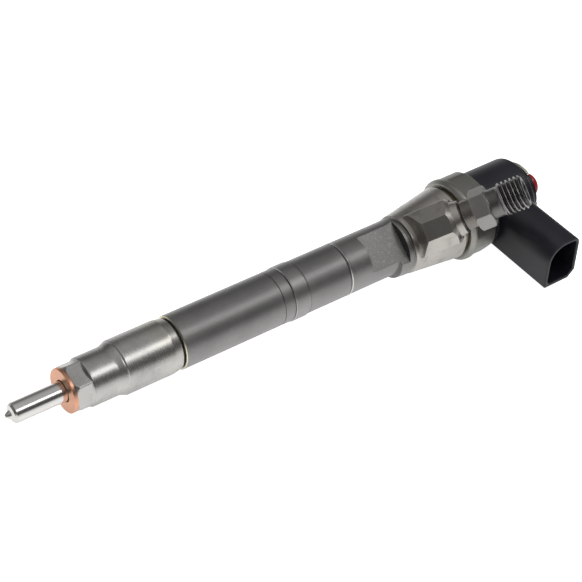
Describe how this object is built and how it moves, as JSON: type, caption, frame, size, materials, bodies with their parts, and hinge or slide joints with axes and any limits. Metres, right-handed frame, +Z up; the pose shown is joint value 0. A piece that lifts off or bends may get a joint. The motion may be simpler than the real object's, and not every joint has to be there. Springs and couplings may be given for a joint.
{
  "type": "fuel injector",
  "caption": "Solenoid common-rail fuel injector with slim nozzle, copper seat washer, clamping nuts, angled threaded inlet and side socket.",
  "frame": {"origin": "on the injector axis in the plane of the sealing washer's seat face, where the nozzle stem starts", "axes": "+X along the injector axis from the nozzle tip to the solenoid head, -Y the way the electrical socket points, +Z up with the injector lying on its side"},
  "size_m": [0.2179, 0.0543, 0.0452],
  "materials": {
    "bright_steel": "ground and polished",
    "nut_steel": "turned, satin",
    "body_steel": "ground, gunmetal satin",
    "black_steel": "phosphated, machined",
    "spring_steel": "drawn wire",
    "copper": "annealed, satin",
    "enamelled_copper": "enamelled wire in a bobbin",
    "contact_brass": "tinned",
    "black_plastic": "moulded, satin",
    "red_plastic": "moulded, gloss",
    "black_rubber": "moulded",
    "inlet_steel": "machined, dull"
  },
  "bodies": {
    "housing": {"nozzle_body": "bright_steel", "nozzle_spring": "spring_steel", "spring_shim": "nut_steel", "locating_pins": "nut_steel", "sealing_washer": "copper", "nozzle_nut": "nut_steel", "injector_body": "body_steel", "valve_piece": "nut_steel", "valve_seal": "nut_steel", "armature_guide": "nut_steel", "valve_nut": "nut_steel", "overtravel_spring": "spring_steel", "solenoid_core": "black_steel", "solenoid_coil": "enamelled_copper", "solenoid_spring": "spring_steel", "spring_spacer": "nut_steel", "lift_shim": "bright_steel", "solenoid_housing": "nut_steel", "housing_o_ring": "black_rubber", "solenoid_nut": "black_steel", "inlet_fitting": "inlet_steel", "edge_filter": "nut_steel", "solenoid_cap": "black_plastic", "contact_blades": "contact_brass", "return_clip": "bright_steel", "return_seal": "red_plastic"},
    "needle": {"nozzle_needle": "bright_steel", "spring_seat": "nut_steel"},
    "plunger": {"control_plunger": "bright_steel"},
    "armature": {"armature_pin": "bright_steel", "valve_ball": "bright_steel"},
    "plate": {"armature_plate": "nut_steel"}
  },
  "joints": [
    {"name": "needle_lift", "type": "slide", "parent": "housing", "child": "needle", "axis": [1, 0, 0], "range_m": [0, 0.00025], "deforming": ["nozzle_spring"]},
    {"name": "plunger_lift", "type": "slide", "parent": "housing", "child": "plunger", "axis": [1, 0, 0], "range_m": [0, 0.00025]},
    {"name": "armature_lift", "type": "slide", "parent": "housing", "child": "armature", "axis": [1, 0, 0], "range_m": [0, 0.00006], "deforming": ["solenoid_spring"]},
    {"name": "plate_overtravel", "type": "slide", "parent": "armature", "child": "plate", "axis": [-1, 0, 0], "range_m": [0, 0.00006], "deforming": ["overtravel_spring"]}
  ],
  "couplings": [
    {"joint": "needle_lift", "follows": "plunger_lift", "ratio": 1}
  ]
}
